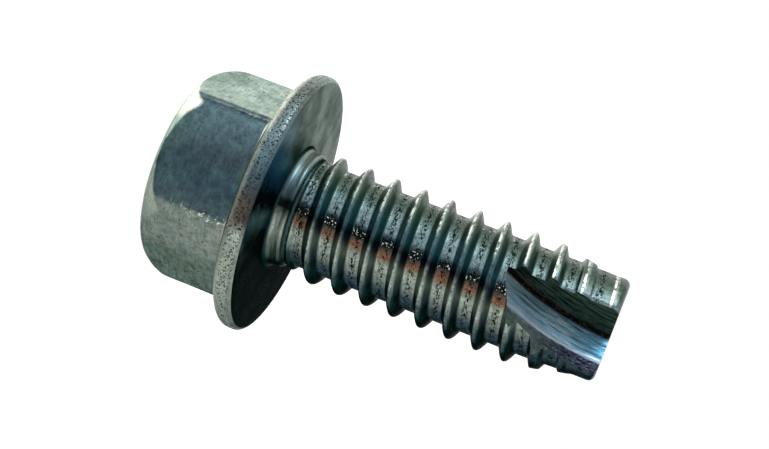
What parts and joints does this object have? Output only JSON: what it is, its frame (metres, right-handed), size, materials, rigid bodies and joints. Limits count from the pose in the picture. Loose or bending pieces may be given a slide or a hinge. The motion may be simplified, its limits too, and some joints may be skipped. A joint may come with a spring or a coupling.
{
  "type": "hex washer head thread cutting screw",
  "caption": "Hexagon head screw with a flange forged on, a coarse spaced thread and a milled flute at its blunt tip that cuts its own thread in a drilled hole.",
  "frame": {"origin": "centre of the head's top face, on which the screw stands, at the lowest point", "axes": "+Z from the head along the shank to the tip; one flat of the hexagon faces -Y, and the flute opens towards -Y"},
  "size_m": [0.0195, 0.0194, 0.0333],
  "materials": {
    "zinc_plated_steel": "zinc plate with a clear blue-green passivation, satin, with small pits"
  },
  "bodies": {
    "root": {"screw": "zinc_plated_steel"}
  },
  "joints": []
}
